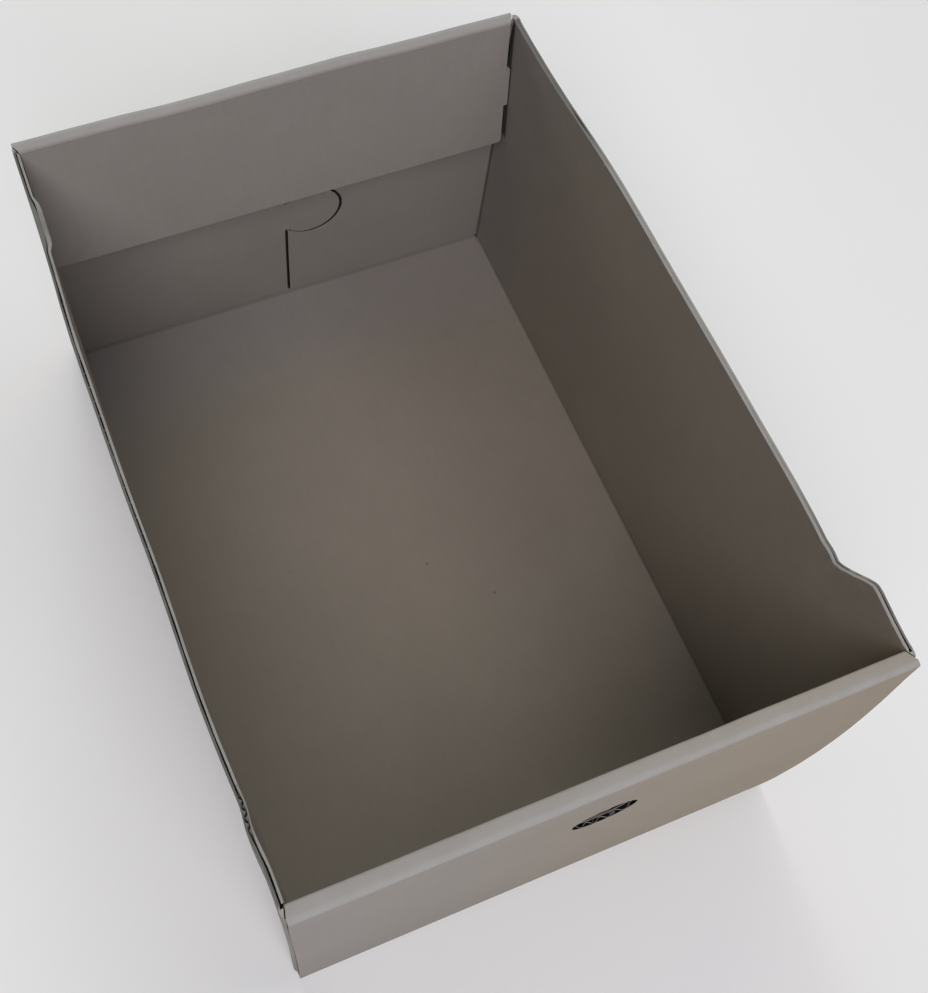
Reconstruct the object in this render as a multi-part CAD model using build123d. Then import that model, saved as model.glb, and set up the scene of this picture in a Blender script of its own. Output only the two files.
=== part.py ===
from build123d import *
import os

# Corrugated board
board = 3.2
liner = 0.7
crease = 0.4

# Clearances
ply_gap = 0.2
floor_gap = 0.6
rim_gap = 1.0
overrun = 5.0

# Body of the drawer
drawer_width = 310.0
drawer_depth = 454.0
front_height = 248.0
side_height = 220.0

# Side walls
wall_foot = 10.0
wall_hem = 1.0
step_top = 41.0
step_foot = 66.0
step_round = 8.0
groove_depth = 3.0

# Outward bow of the side walls' tops, at three places along their length
bow_front = -160.0
bow_middle = -40.0
bow_back = 100.0
left_bow_front = 3.3
left_bow_middle = 5.0
left_bow_back = 4.9
right_bow_front = 5.0
right_bow_middle = 7.3
right_bow_back = 5.6

# End panels, measured to both sides of the middle
front_panel_left = 153.3
front_panel_right = 154.7
front_rollover_left = 151.7
front_rollover_right = 150.5
back_panel_left = 154.5
back_panel_right = 151.5
back_rollover_left = 151.4
back_rollover_right = 148.6

# Right edge of the front panel, which springs forward of its folds
spring_start = 30.0
spring = 5.2

# Back rollover flap, with an ear at each side that locks into a side wall
flap_length = 94.5
flap_lean = 7.9
flap_corner = 2.0
ear_start = 36.0
ear_length = 28.0
ear_recess = 0.8
ear_gap = 0.3

# Front lining, with tabs that drop into slots of the floor
tab_width = 40.0
tab_spacing = 150.0
tab_recess = 0.6
tab_gap = 0.3

# Round-headed lock between the two corner flaps of each end
seam_place = 2.3
seam_gap = 2.0
lock_height = 89.3
lock_reach = 18.2
socket_radius = 22.0
lip_round = 1.5

# Finger hole
hole_diameter = 35.0
hole_place = 6.5
hole_drop = 72.0

# Sizes worked out from the above
fold_outer = crease + board
fold_middle = crease + board / 2
half_width = drawer_width / 2
half_depth = drawer_depth / 2
core = board - 2 * liner
ply_pitch = board + ply_gap
strip_width = 2 * ply_pitch + board
flap_face = half_depth - ply_pitch
wall_end = flap_face - fold_outer - wall_hem
wall_top = front_height + overrun
flap_foot = board + floor_gap
tongue_radius = socket_radius - (seam_gap + ply_gap) / 2
tongue_pull = (seam_gap - ply_gap) / 2
socket_place = seam_place + lock_reach
beyond_walls = half_width + max(left_bow_middle, right_bow_middle) + overrun


def band(points, thickness, left, right):
    """Layer folded along a centre line in the YZ plane, between two cut sides."""
    path = FilletPolyline(*points, radius=fold_middle)
    section = Plane.YZ.offset(-left) * trace(path, thickness)
    return extrude(section, left + right, dir=(1, 0, 0))


def plan_prism(points, low, high):
    """Upright prism on an outline given in the XY plane."""
    outline = Plane.XY.offset(low) * make_face(Polyline(*points, close=True))
    return extrude(outline, high - low, dir=(0, 0, 1))


def side_prism(outline, low, high):
    """Prism along X on an outline given in the YZ plane."""
    return extrude(Plane.YZ.offset(low) * outline, high - low, dir=(1, 0, 0))


def wall_curve(side, skin):
    """Plan of one skin of a side wall at its top, bowed outward between the corners."""
    bows = (left_bow_front, left_bow_middle, left_bow_back)
    if side > 0:
        bows = (right_bow_front, right_bow_middle, right_bow_back)
    places = (bow_front, bow_middle, bow_back)
    bowed = [(side * (skin + bow), place) for bow, place in zip(bows, places)]
    ends = (side * skin, -wall_end), (side * skin, wall_end)
    return Spline(ends[0], *bowed, ends[1], tangents=((0, 1), (0, 1)))


def wall_slab(side, inner, outer):
    """Slab of a side wall, straight at its foot and bowed outward at its top."""
    foot = make_face(
        Polyline(
            (side * inner, -wall_end),
            (side * outer, -wall_end),
            (side * outer, wall_end),
            (side * inner, wall_end),
            close=True,
        )
    )
    inside = wall_curve(side, inner)
    outside = wall_curve(side, outer)
    front_edge = Line(inside @ 0, outside @ 0)
    back_edge = Line(outside @ 1, inside @ 1)
    top = make_face([inside, front_edge, outside, back_edge])
    return loft([Plane.XY.offset(wall_foot) * foot, Plane.XY.offset(wall_top) * top], ruled=True)


def sprung(layers, thickness):
    """Layers of the front end, with the right part of the outer panel sprung forward."""
    outer = -half_depth + (board - thickness) / 2
    inner = outer + thickness
    low, high = fold_outer, front_height - fold_outer
    middle = (low + high) / 2
    corners = ((outer, low), (inner, low), (inner, high), (outer, high))
    flat = make_face(Polyline(*corners, close=True))
    back_edge = ThreePointArc((inner, low), (inner - spring, middle), (inner, high))
    front_edge = ThreePointArc((outer, low), (outer - spring, middle), (outer, high))
    top_edge = Line(back_edge @ 1, front_edge @ 1)
    foot_edge = Line(front_edge @ 0, back_edge @ 0)
    bulged = make_face([foot_edge, back_edge, top_edge, front_edge])
    start, end = Plane.YZ.offset(spring_start), Plane.YZ.offset(front_panel_right)
    slab = loft([start * flat, end * bulged], ruled=True)
    return layers - side_prism(flat, spring_start, front_panel_right) + slab


def above_rim(drop):
    """Space over the cut top edge of the side walls, lowered by a given drop."""
    corners = (
        (-half_depth - overrun, front_height - drop),
        (-half_depth + step_top, front_height - drop),
        (-half_depth + step_foot, side_height - drop),
        (half_depth + overrun, side_height - drop),
    )
    rim = FilletPolyline(*corners, radius=step_round)
    top = front_height + overrun
    lid = Polyline(rim @ 1, (half_depth + overrun, top), (-half_depth - overrun, top), rim @ 0)
    outline = make_face([*rim.edges(), *lid.edges()])
    return side_prism(outline, -beyond_walls, beyond_walls)


def cut_sides(end):
    """Left and right reach of an end's outer panel, then of its rollover panel."""
    if end < 0:
        return front_panel_left, front_panel_right, front_rollover_left, front_rollover_right
    return back_panel_left, back_panel_right, back_rollover_left, back_rollover_right


def strip_plan(end):
    """Plan of a top strip, wide at the outer fold and narrower at the inner one."""
    outer, root, inner = end * half_depth, end * flap_face, end * (half_depth - strip_width)
    left, right, rollover_left, rollover_right = cut_sides(end)
    return (
        (-left, outer),
        (right, outer),
        (right, root),
        (rollover_right, inner),
        (-rollover_left, inner),
        (-left, root),
    )


def end_trims(end, inset):
    """What lies beyond both cut sides of an end's layers, or an inset further in."""
    left, right, rollover_left, rollover_right = cut_sides(end)
    trims = []
    for side, panel, rollover in ((-1, left, rollover_left), (1, right, rollover_right)):
        far = half_width + overrun
        outer = end * (half_depth + spring + overrun)
        points = (
            (side * (panel - inset), outer),
            (side * (panel - inset), end * flap_face),
            (side * (rollover - inset), end * (half_depth - strip_width)),
            (side * (rollover - inset), 0),
            (side * far, 0),
            (side * far, outer),
        )
        trims.append(plan_prism(points, board + floor_gap / 2, wall_top))
    return trims


def folded_end(points, end):
    """One end's layers, trimmed to width, with open flutes along the cut sides."""
    left, right = cut_sides(end)[:2]
    layers = band(points, board, left, right)
    flutes = band(points, core, left, right)
    if end < 0:
        layers = sprung(layers, board)
        flutes = sprung(flutes, core)
    layers -= end_trims(end, 0)
    for trim in end_trims(end, groove_depth):
        layers -= flutes & trim
    return layers


def corner_flap(side, end, top):
    """Vertical fold at a corner and the flap that runs from it to the seam."""
    skin = half_width - board / 2
    layer = end * (flap_face - board / 2)
    seam = seam_place + side * seam_gap / 2
    path = FilletPolyline(
        (side * skin, end * wall_end),
        (side * skin, layer),
        (seam, layer),
        radius=fold_middle,
    )
    return extrude(Plane.XY.offset(flap_foot) * trace(path, board), top - flap_foot, dir=(0, 0, 1))


def lock_disc(place, radius, end):
    """Disc as thick as a corner flap, standing in that flap's layer."""
    middle = end * (flap_face - board / 2)
    return Pos(place, middle, lock_height) * Rot(90, 0, 180) * Cylinder(radius, board)


def round_lips(flap):
    """Corner flap with the sharp corners of its lock rounded."""
    across = flap.edges().filter_by(Axis.Y)
    lips = across.filter_by_position(Axis.Z, lock_height - socket_radius, lock_height + socket_radius)
    return fillet(lips, lip_round)


def flap_point(down, inward):
    """Point on the leaning back flap, from the top of its outer face."""
    top = Vector(half_depth - strip_width + board, side_height)
    along = Vector(0, -1).rotate(Axis.Z, -flap_lean)
    across = Vector(-1, 0).rotate(Axis.Z, -flap_lean)
    spot = top + along * down + across * inward
    return (spot.X, spot.Y)


def ear_outline(margin):
    """Section of an ear in the YZ plane, grown by a margin all round."""
    corners = (
        flap_point(ear_start - margin, -margin),
        flap_point(ear_start + ear_length + margin, -margin),
        flap_point(ear_start + ear_length + margin, board + margin),
        flap_point(ear_start - margin, board + margin),
    )
    return make_face(Polyline(*corners, close=True))


# Floor with the folds and feet of the side walls
side_path = FilletPolyline(
    (-half_width + board / 2, wall_foot),
    (-half_width + board / 2, board / 2),
    (half_width - board / 2, board / 2),
    (half_width - board / 2, wall_foot),
    radius=fold_middle,
)
tray = extrude(Plane.XZ * trace(side_path, board), wall_end, both=True)
floor_root = half_depth - fold_outer
tray += plan_prism(
    (
        (-half_width + fold_outer, -floor_root),
        (half_width - fold_outer, -floor_root),
        (half_width - fold_outer, floor_root),
        (-half_width + fold_outer, floor_root),
    ),
    0,
    board,
)

# Side walls, with the open flutes between the two facings along the cut top edge
for side in (-1, 1):
    wall = wall_slab(side, half_width - board, half_width) - above_rim(0)
    flutes = wall_slab(side, half_width - board + liner, half_width - liner)
    tray += wall - (flutes & above_rim(groove_depth))

# Corner flaps
for end in (-1, 1):
    top = front_height if end < 0 else side_height
    left_flap = corner_flap(-1, end, top) + lock_disc(socket_place - tongue_pull, tongue_radius, end)
    right_flap = corner_flap(1, end, top) - lock_disc(socket_place, socket_radius, end)
    tray += [round_lips(left_flap), round_lips(right_flap)]

# Room under the two top strips
for end, height in ((-1, front_height), (1, side_height)):
    under = height - board - rim_gap
    plan = offset(make_face(Polyline(*strip_plan(end), close=True)), floor_gap)
    tray -= extrude(Plane.XY.offset(under) * plan, board + rim_gap + overrun, dir=(0, 0, 1))

# Slots in the side walls for the ears
slots = side_prism(ear_outline(ear_gap), -beyond_walls, beyond_walls)
tray -= slots

# Front end: outer panel, top strip and lining
front_skin = -half_depth + board / 2
front_lining = -half_depth + strip_width - board / 2
front = folded_end(
    (
        (-wall_end - wall_hem, board / 2),
        (front_skin, board / 2),
        (front_skin, front_height - board / 2),
        (front_lining, front_height - board / 2),
        (front_lining, flap_foot),
    ),
    -1,
)

# Back end: outer panel, top strip and leaning flap
back_skin = half_depth - board / 2
back = folded_end(
    (
        (wall_end + wall_hem, board / 2),
        (back_skin, board / 2),
        (back_skin, side_height - board / 2),
        flap_point(board / 2, board / 2),
        flap_point(flap_length, board / 2),
    ),
    1,
)
for edge in (-back_rollover_left, back_rollover_right):
    for depth in (liner / 2, board - liner / 2):
        corner = back.edges().sort_by_distance((edge, *flap_point(flap_length, depth)))[0]
        back = fillet(corner, flap_corner)
low_edge = (
    flap_point(flap_length - groove_depth, liner),
    flap_point(flap_length + overrun, liner),
    flap_point(flap_length + overrun, liner + core),
    flap_point(flap_length - groove_depth, liner + core),
)
back -= side_prism(make_face(Polyline(*low_edge, close=True)), -half_width, half_width)
ear_span = half_width - ear_recess
back += side_prism(ear_outline(0), -ear_span, ear_span)

drawer = tray + front + back

# Tabs of the lining in the slots of the floor
for place in (-tab_spacing / 2, tab_spacing / 2):
    slot = Box(tab_width + 2 * tab_gap, board + 2 * tab_gap, board + overrun)
    tab = Box(tab_width, board, flap_foot + board - tab_recess)
    drawer -= Pos(place, front_lining, 0) * slot
    drawer += Pos(place, front_lining, tab_recess + (flap_foot + board - tab_recess) / 2) * tab

# Finger hole through every layer of the front, with the flutes open around it
hole_height = front_height - hole_drop
hole = Pos(hole_place, front_skin + ply_pitch, hole_height) * Rot(90, 0, 0)
drawer -= hole * Cylinder(hole_diameter / 2, 2 * strip_width)
for layer in range(3):
    ring = Pos(hole_place, front_skin + layer * ply_pitch, hole_height) * Rot(90, 0, 0)
    drawer -= ring * Cylinder(hole_diameter / 2 + groove_depth, core)

# The origin is under the middle of the whole drawer
middle = drawer.bounding_box().center()
drawer = Pos(-middle.X, -middle.Y, 0) * drawer
drawer.label = "folded_drawer"

os.makedirs("parts", exist_ok=True)
export_step(drawer, "parts/folded_drawer.step")
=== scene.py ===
import math

import bmesh
import bpy
from bpy.props import FloatProperty, FloatVectorProperty, PointerProperty
from mathutils import Euler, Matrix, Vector, noise
from mathutils.bvhtree import BVHTree
from mathutils.geometry import area_tri, tessellate_polygon


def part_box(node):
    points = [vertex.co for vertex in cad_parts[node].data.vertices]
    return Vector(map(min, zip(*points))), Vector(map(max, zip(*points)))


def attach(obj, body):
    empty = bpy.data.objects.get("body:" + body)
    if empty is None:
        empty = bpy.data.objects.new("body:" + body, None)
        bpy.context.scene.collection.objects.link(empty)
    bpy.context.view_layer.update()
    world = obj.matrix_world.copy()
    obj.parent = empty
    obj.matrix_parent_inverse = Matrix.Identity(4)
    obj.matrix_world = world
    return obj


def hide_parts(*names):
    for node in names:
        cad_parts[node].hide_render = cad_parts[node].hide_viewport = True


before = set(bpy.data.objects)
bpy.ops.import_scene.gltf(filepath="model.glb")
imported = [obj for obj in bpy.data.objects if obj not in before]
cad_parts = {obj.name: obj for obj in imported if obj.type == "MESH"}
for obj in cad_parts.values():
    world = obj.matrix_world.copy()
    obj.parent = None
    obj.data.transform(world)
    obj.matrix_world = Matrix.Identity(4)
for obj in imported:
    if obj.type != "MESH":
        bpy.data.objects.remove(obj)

bl_info = {
    "name": "Cardboard Storage Drawer",
    "version": (1, 0, 0),
    "blender": (4, 5, 0),
    "location": "3D View > Sidebar > Drawer",
    "description": "Folded corrugated-board drawer with worn rims, open flutes and a photo studio",
    "category": "Object",
}

# Bumps worn or pressed into the board, in metres: place along the edge, reach to each side, push
LEFT_RIM_BUMPS = ((0.185, 0.06, 0.0009), (-0.188, 0.016, 0.0006))
RIGHT_RIM_BUMPS = ((-0.157, 0.009, 0.0009), (-0.168, 0.011, -0.00072), (-0.1815, 0.007, 0.00063))
BACK_STRIP_BUMPS = ((0.035, 0.06, 0.0009), (-0.055, 0.045, -0.001))
# Stretches of the rims, in metres: middle along the drawer and reach to each side
GAPING_STEP = (-0.175, 0.02)
GAPING_FLUTES = (-0.178, 0.026)
RIGHT_GAP = (0.135, 0.016)
LIT_REACH = 0.018
# Places along the drawer, in metres from its middle: where a thing starts and where it is full
BULGE_RUN, TUCK_RUN, TUCK_END = (-0.163, -0.186), (-0.05, -0.18), (-0.222, -0.2)
RIGHT_OPEN_RUN, RIGHT_DULL_RUN, RIGHT_BACK_RUN = (-0.15, -0.165), (-0.1, -0.15), (0.08, 0.14)
# Heights between which the right rim's bumps grow, in metres
BUMP_RISE = (0.19, 0.215)
# Places between which the facing's colour shifts, a painted tint of the light, in metres: to the front
# end, to the back end, and across the front end to its cooler left and its warmer right
FRONT_TONE, BACK_TONE, COOL_TONE, WARM_TONE = (0.2, 0.215), (0.13, 0.2), (0.05, -0.16), (-0.08, 0.16)
# How far the rims' cut edges are worn down, in metres: inner facing, right and left outer facing
INNER_WEAR, RIGHT_WEAR, LEFT_WEAR = 0.0007, 0.0003, 0.0009
# How much darker stretches of the rims' cut edges are made: the right one, the left one's outer facing, its
# crushed inner facing
RIGHT_DARKENING, LEFT_DARKENING, CRUSH_DARKENING = 0.45, 0.5, 0.35
# Narrowest half slit in the left and the right rim, and how far it widens at RIGHT_GAP, in metres
LEAST_LEFT, LEAST_RIGHT, RIGHT_WIDER = 0.00004, 0.00003, 0.0003
# Feet of the back corners' folds, in metres: where they are and the height they are set down to
FOOT_INSIDE, FOOT_FRONT, FOOT_LOW, FOOT_HIGH, FOOT_SEAT = 0.1513, 0.219, 0.003, 0.0045, 0.0004
# Specks on the floor: place, radius, how much darker
SPECKS = (
    ((0.0145, -0.014, 0.0032), 0.0011, 0.5),
    ((0.0485, -0.049, 0.0032), 0.0012, 0.45),
    ((-0.0726, 0.013, 0.0032), 0.001, 0.25),
)
# Painted shade lines where two inner faces meet: axis along the line, point on it, reach, how much darker
CORNER_SHADE_LINES = (
    (2, (0.1519, 0.2195, 0), 0.0022, 0.45),
    (1, (0.1519, 0, 0.0032), 0.0018, 0.3),
    (0, (0, 0.2195, 0.0032), 0.0016, 0.2),
)
# The board's finishes, the last two of them painted shade, and the fluted sheets' lit and painted-shade
# parts, as places in their lists of materials
FACING, CUT, HOLLOW_SHADE, SHADE = range(4)
LIT, UNLIT = range(2)
# Small steps in metres: past an edge, off a face, and the widest air gap that looks dark
HAIR, SKIN, DARK_GAP = 0.0003, 0.00015, 0.0022
# How many groove depths down the crushed stretch reaches, and how far down it sags, in metres
CRUSH_DEPTHS, CRUSH_SAG = 5, 0.0012
# In groove depths: how far down a point is in the groove, and how far down it is still at the edge
IN_GROOVE, AT_EDGE = 1.05, 0.1
# Rubbed strips with a painted highlight along their outer folds, in metres: where the rubbing and highlight
# start and are full below the top, how far they stay from the strip's edges, their reach round the outer
# fold, and their share away from that fold
RUB_LOW, RUB_HIGH, RUB_EDGE, FOLD_HIGHLIGHT_REACH, RUB_SHARE = 0.0035, 0.0005, 0.0015, 0.003, 0.45
# Flutes, in metres: room to each facing, and the waves' shift on the rims, ends and hole's layers
FLUTE_ROOM, RIM_PHASE, END_PHASE, HOLE_PHASES = 0.00005, 0.0021, 0.001, (0.0012, 0.0034, 0.0051)
# Side of each rim's flutes and how much they lean from front to back
RIM_LEANS = ((-1, 0.011), (1, -0.008))
# Top of the rims' middle sheet, its rise where the edge gapes, and its foot, in groove depths
SHEET_TOP, SHEET_RISE, SHEET_FOOT = 0.55, 0.47, 0.97
# Share of the rim's length that is its front part, and share of the sheet's columns that it gets
FRONT_SHARE, FRONT_COLUMNS = 0.2, 0.55
# In metres: how far light reaches into the hole's flutes, what the ends' flutes leave free at the
# groove's bottom, and at the flap's corners
HOLE_LIT, GROOVE_SPARE, FLAP_INSET = 0.0008, 0.0004, 0.004
# Height of the sprung front's two folds together, in metres, and how much its spring fades inwards
SPRING_FOLDS, SPRING_FADE = 0.0072, 0.024
QUICK_CELL, FLAP_FRONT, RIM_INSIDE = 0.02, 0.19, 0.15
# A face is a facing where the board behind it is thinner than this many boards
LAYER_LIMIT = 1.15
# A cut face gets the hollow's painted shade where this share of its outline meets such faces, folded
# in by more than an angle in radians
WALLED_SHARE, FOLDED_IN = 0.45, -0.5
NODE = "folded_drawer"
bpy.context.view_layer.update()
BOX_LOW, BOX_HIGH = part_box(NODE)


class DrawerSizes(bpy.types.PropertyGroup):
    """Sizes of the folded board, in metres"""

    board: FloatProperty(
        name="Board", description="Thickness of the board", default=0.0032, unit="LENGTH", precision=5
    )
    liner: FloatProperty(
        name="Facing", description="Thickness of each facing", default=0.0007, unit="LENGTH", precision=5
    )
    ply_gap: FloatProperty(
        name="Ply Gap", description="Air between two layers", default=0.0002, unit="LENGTH", precision=5
    )
    crease: FloatProperty(
        name="Inner Fold", description="Inside radius of a fold", default=0.0004, unit="LENGTH", precision=5
    )
    flute_pitch: FloatProperty(
        name="Flute Pitch", description="Distance between two flutes", default=0.0078,
        unit="LENGTH", precision=5,
    )
    medium: FloatProperty(
        name="Fluting", description="Thickness of the fluted middle sheet", default=0.00022, unit="LENGTH",
        precision=5,
    )
    step_round: FloatProperty(
        name="Step Rounding", description="Radius of the rim's corners", default=0.008, unit="LENGTH"
    )
    wall_end: FloatProperty(
        name="Wall End", description="Where a side wall ends, from the middle", default=0.219, unit="LENGTH"
    )
    front_left: FloatProperty(
        name="Front Panel Left", description="Reach of the front panel to the left", default=0.1533,
        unit="LENGTH",
    )
    front_right: FloatProperty(
        name="Front Panel Right", description="Reach of the front panel to the right", default=0.1547,
        unit="LENGTH",
    )
    lining_left: FloatProperty(
        name="Lining Left", description="Reach of the front lining to the left", default=0.1517, unit="LENGTH"
    )
    lining_right: FloatProperty(
        name="Lining Right", description="Reach of the front lining to the right", default=0.1505,
        unit="LENGTH",
    )
    back_left: FloatProperty(
        name="Back Panel Left", description="Reach of the back panel to the left", default=0.1545,
        unit="LENGTH",
    )
    back_right: FloatProperty(
        name="Back Panel Right", description="Reach of the back panel to the right", default=0.1515,
        unit="LENGTH",
    )
    flap_left: FloatProperty(
        name="Flap Left", description="Reach of the back flap to the left", default=0.1514, unit="LENGTH"
    )
    flap_right: FloatProperty(
        name="Flap Right", description="Reach of the back flap to the right", default=0.1486, unit="LENGTH"
    )
    flap_length: FloatProperty(
        name="Flap Length", description="Length of the back flap", default=0.0945, unit="LENGTH"
    )
    flap_lean: FloatProperty(
        name="Flap Lean", description="Lean of the back flap in degrees", default=7.9
    )
    groove_depth: FloatProperty(
        name="Flute Depth", description="Depth that a cut edge lets one look in", default=0.003, unit="LENGTH"
    )
    half_width: FloatProperty(
        name="Half Width", description="Half of the width at the corners", default=0.155, unit="LENGTH"
    )
    half_depth: FloatProperty(
        name="Half Depth", description="Half of the depth at the corners", default=0.227, unit="LENGTH"
    )
    front_height: FloatProperty(
        name="Front Height", description="Height of the front end", default=BOX_HIGH.z, unit="LENGTH"
    )
    side_height: FloatProperty(
        name="Side Height", description="Height of the sides and the back", default=0.22, unit="LENGTH"
    )
    step_top: FloatProperty(
        name="Step Top", description="Where the rim starts to drop", default=0.041, unit="LENGTH"
    )
    step_foot: FloatProperty(
        name="Step Foot", description="Where the rim is low", default=0.066, unit="LENGTH"
    )
    wall_reach: FloatProperty(
        name="Wall Reach", description="Right wall's rim at its widest", default=0.16169, unit="LENGTH"
    )
    spring: FloatProperty(
        name="Spring", description="Front panel's right edge ahead of its folds", default=0.0052,
        unit="LENGTH",
    )
    hole_radius: FloatProperty(
        name="Finger Hole", description="Radius of the finger hole", default=0.0175, unit="LENGTH"
    )
    hole_place: FloatProperty(
        name="Hole Place", description="Finger hole to the right of the middle", default=0.0065, unit="LENGTH"
    )
    hole_height: FloatProperty(
        name="Hole Height", description="Finger hole above the floor", default=0.176, unit="LENGTH"
    )
    cell: FloatProperty(
        name="Mesh Cell", description="Size of the mesh's cells", default=0.009, unit="LENGTH"
    )
    warp: FloatProperty(
        name="Warp", description="How far the board waves", default=0.0007, unit="LENGTH", precision=5
    )
    squeeze: FloatProperty(
        name="Squeeze", description="How far the rolled ends are pressed together", default=0.0013,
        unit="LENGTH", precision=5,
    )
    strip_press: FloatProperty(
        name="Strip Press", description="How far the front strip's outer fold is pressed out", default=0.0006,
        unit="LENGTH", precision=5,
    )
    strip_dip: FloatProperty(
        name="Strip Dip", description="How far the front strip is worn down", default=0.0002,
        unit="LENGTH", precision=5,
    )
    strip_lumps: FloatProperty(
        name="Strip Lumps", description="Height of the strips' lumps", default=0.0003, unit="LENGTH",
        precision=5,
    )
    step_bulge: FloatProperty(
        name="Step Bulge", description="How far the left rim stands out in front of its step", default=0.0018,
        unit="LENGTH", precision=5,
    )
    tuck: FloatProperty(
        name="Tuck", description="How far the left wall's front part leans in below its rim", default=0.0034,
        unit="LENGTH", precision=5,
    )
    slit_left: FloatProperty(
        name="Left Slit", description="Half of the gap between the left rim's facings", default=0.00036,
        unit="LENGTH", precision=5,
    )
    slit_right: FloatProperty(
        name="Right Slit", description="Half of the gap between the right rim's facings", default=0.00008,
        unit="LENGTH", precision=5,
    )
    slit_open: FloatProperty(
        name="Open Slit", description="Half of the gap where a cut edge gapes", default=0.0012,
        unit="LENGTH", precision=5,
    )
    crush_place: FloatProperty(
        name="Crush Place", description="Middle of the crushed part of the left rim", default=0.168,
        unit="LENGTH",
    )
    crush_reach: FloatProperty(
        name="Crush Reach", description="Half of the length of the crushed part", default=0.02, unit="LENGTH"
    )
    crush_depth: FloatProperty(
        name="Crush Depth", description="How far the inner facing is pushed in there", default=0.0021,
        unit="LENGTH", precision=5,
    )


class DrawerColours(bpy.types.PropertyGroup):
    """Colours of the board"""

    facing: FloatVectorProperty(
        name="Facing", description="Kraft facing", subtype="COLOR", size=3, default=(0.27, 0.239, 0.199)
    )
    # Painted tint of the light, cooler: used at the back end and on the front's left
    cool_light_tint: FloatVectorProperty(
        name="Cool Facing", description="Greyer facing of the back end", subtype="COLOR", size=3,
        default=(0.262, 0.237, 0.22),
    )
    # Painted tint of the light, warmer: used on the front's right side
    warm_light_tint: FloatVectorProperty(
        name="Warm Facing", description="Browner facing of the front's right side", subtype="COLOR", size=3,
        default=(0.268, 0.222, 0.169),
    )
    cut: FloatVectorProperty(
        name="Cut Edge", description="Cut edge of a facing", subtype="COLOR", size=3,
        default=(0.33, 0.32, 0.3),
    )
    medium: FloatVectorProperty(
        name="Fluting", description="Fluted middle sheet", subtype="COLOR", size=3, default=(0.3, 0.28, 0.25)
    )
    # Partly rubbed, greyer paper and partly a painted highlight: mixed in on the strips' tops, most at their
    # outer folds
    worn: FloatVectorProperty(
        name="Worn Fold", description="Rubbed, greyer paper", subtype="COLOR", size=3,
        default=(0.36, 0.36, 0.355),
    )
    # Painted shade: near-black colour for paper in slits, flutes and narrow gaps
    hollow: FloatVectorProperty(
        name="Hollow", description="Paper deep in slits and flutes", subtype="COLOR", size=3,
        default=(0.034, 0.029, 0.027),
    )


class DrawerStage(bpy.types.PropertyGroup):
    """Camera and lights"""

    camera_place: FloatVectorProperty(
        name="Camera", description="Place of the camera", subtype="TRANSLATION", size=3,
        default=(-0.167, -0.2979, 0.8166),
    )
    camera_turn: FloatVectorProperty(
        name="Camera Turn", description="Turn of the camera", subtype="EULER", size=3,
        default=(math.radians(25.2295), math.radians(-3.8245), math.radians(-22.3495)),
    )
    lens: FloatProperty(name="Lens", description="Focal length in millimetres", default=47.846)
    shift_x: FloatProperty(name="Shift X", description="Sideways shift of the lens", default=0.0455)
    shift_y: FloatProperty(name="Shift Y", description="Upward shift of the lens", default=-0.0045)
    light: FloatProperty(name="Light", description="Power of all soft lights", default=112.0, unit="POWER")
    light_size: FloatProperty(
        name="Light Size", description="Width of each soft light", default=1.6, unit="LENGTH"
    )
    light_reach: FloatProperty(
        name="Light Reach", description="Distance of the lights", default=2.6, unit="LENGTH"
    )
    sky: FloatProperty(name="Sky", description="Strength of the even light", default=0.03)


class Term:
    """Shader value that takes part in sums as a number does"""

    def __init__(self, finish, socket):
        self.finish = finish
        self.socket = socket

    def math(self, operation, *values):
        return self.finish.node("ShaderNodeMath", {"operation": operation}, dict(enumerate(values)))

    def __add__(self, other):
        return self.math("ADD", self, other)

    def __sub__(self, other):
        return self.math("SUBTRACT", self, other)

    def __mul__(self, other):
        return self.math("MULTIPLY", self, other)

    def __rsub__(self, other):
        return self.math("SUBTRACT", other, self)

    __radd__ = __add__
    __rmul__ = __mul__

    def __neg__(self):
        return self * -1

    def sine(self):
        return self.math("SINE", self)

    def between(self, low, high):
        """0 below low, 1 above high, smooth in between"""
        return self.finish.node(
            "ShaderNodeMapRange",
            {"interpolation_type": "SMOOTHSTEP"},
            {"Value": self, "From Min": low, "From Max": high},
        )


class Finish:
    """Material under construction"""

    def __init__(self, name):
        self.material = bpy.data.materials.new(name)
        self.material.use_nodes = True
        self.tree = self.material.node_tree
        self.tree.nodes.clear()

    def node(self, kind, settings=None, values=None, output=0):
        made = self.tree.nodes.new(kind)
        for key, value in (settings or {}).items():
            setattr(made, key, value)
        for key, value in (values or {}).items():
            socket = made.inputs[key]
            if isinstance(value, Term):
                self.tree.links.new(value.socket, socket)
            else:
                socket.default_value = value
        return Term(self, made.outputs[output]) if made.outputs else None

    def place(self):
        """Place of the shaded point on its piece, in metres"""
        return self.node("ShaderNodeTexCoord", output=3)

    def noise(self, place, scale, detail=2.0, roughness=0.5):
        return self.node(
            "ShaderNodeTexNoise",
            {"noise_dimensions": "3D"},
            {"Vector": place, "Scale": scale, "Detail": detail, "Roughness": roughness},
        )

    def mix(self, factor, first, second):
        return self.node("ShaderNodeMix", {"data_type": "RGBA"}, {0: factor, 6: first, 7: second}, output=2)

    def scaled(self, colour, gain):
        """A colour, lighter or darker by a gain"""
        return self.node("ShaderNodeVectorMath", {"operation": "SCALE"}, {0: colour, "Scale": gain})

    def bumpy(self, height, strength, distance=0.0003):
        """Direction of a surface with fine relief"""
        values = {"Strength": strength, "Distance": distance, "Height": height}
        return self.node("ShaderNodeBump", None, values)

    def surface(self, colour, roughness, normal, specular):
        shader = self.node(
            "ShaderNodeBsdfPrincipled",
            None,
            {"Base Color": colour, "Roughness": roughness, "Normal": normal, "Specular IOR Level": specular},
        )
        self.node("ShaderNodeOutputMaterial", None, {"Surface": shader})
        return self.material


def rgba(colour, gain=1.0):
    return (*(channel * gain for channel in colour), 1.0)


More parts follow.
